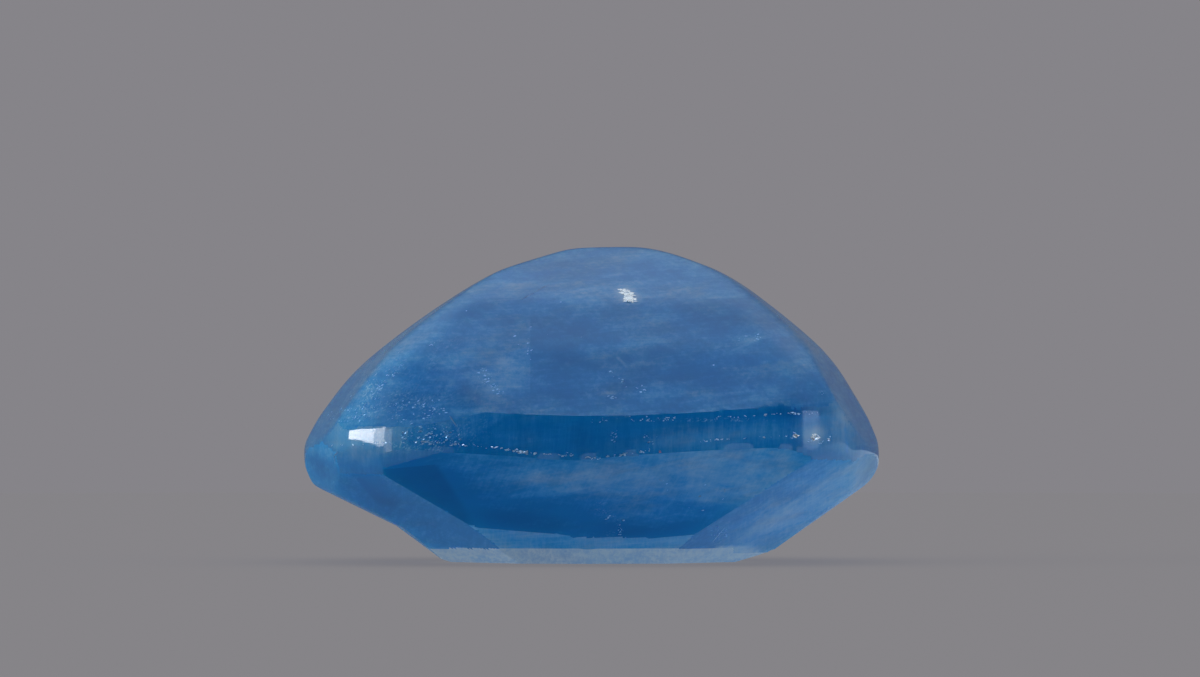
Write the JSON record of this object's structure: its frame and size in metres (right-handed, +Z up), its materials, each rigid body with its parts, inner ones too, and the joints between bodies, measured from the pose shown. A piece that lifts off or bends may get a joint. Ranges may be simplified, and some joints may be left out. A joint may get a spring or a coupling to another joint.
{
  "type": "faceted sapphire gemstone",
  "caption": "Cushion-shaped blue sapphire with stepped facets, resting on its flat table with the deep rounded pavilion upwards.",
  "frame": {"origin": "on the table plane, under the middle of the stone's bounding box", "axes": "+X along the stone's length, -Y towards the front, +Z up from the table to the pavilion's top"},
  "size_m": [0.012, 0.0096, 0.0066],
  "materials": {
    "blue_sapphire": "polished, slightly hazy with silk and fine scratches"
  },
  "bodies": {
    "root": {"sapphire": "blue_sapphire"}
  },
  "joints": []
}
